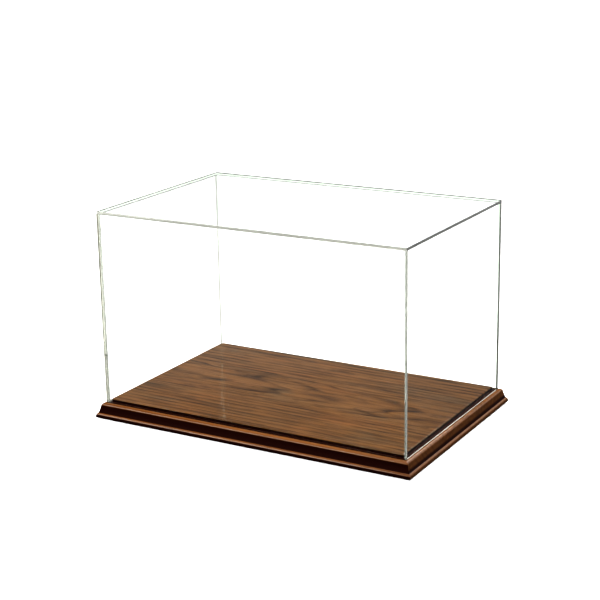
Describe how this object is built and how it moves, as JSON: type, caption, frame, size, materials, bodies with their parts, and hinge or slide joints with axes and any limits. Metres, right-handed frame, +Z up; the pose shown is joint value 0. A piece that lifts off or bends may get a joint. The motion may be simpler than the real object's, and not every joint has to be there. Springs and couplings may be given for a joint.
{
  "type": "display case",
  "caption": "Clear rectangular acrylic display cover that lifts off a dark-stained moulded hardwood base with a routed ledge, raised panel and low rubber feet.",
  "frame": {"origin": "on the surface that the case stands on, under the middle of the base", "axes": "+X along the long side, +Y from the front to the back, +Z up"},
  "size_m": [0.3736, 0.2476, 0.2282],
  "materials": {
    "hardwood": "dark walnut stain under gloss varnish, long grain along X",
    "acrylic": "clear cast acrylic sheet, polished edges",
    "rubber": "matt moulded rubber"
  },
  "bodies": {
    "base": {"base_stave_front": "hardwood", "base_stave_middle": "hardwood", "base_stave_back": "hardwood", "foot_front_left": "rubber", "foot_front_right": "rubber", "foot_back_left": "rubber", "foot_back_right": "rubber"},
    "cover": {"cover_front": "acrylic", "cover_back": "acrylic", "cover_left": "acrylic", "cover_right": "acrylic", "cover_top": "acrylic"}
  },
  "joints": [
    {"name": "cover_lift", "type": "slide", "parent": "base", "child": "cover", "axis": [0, 0, 1], "range_m": [0, 0.25]}
  ]
}
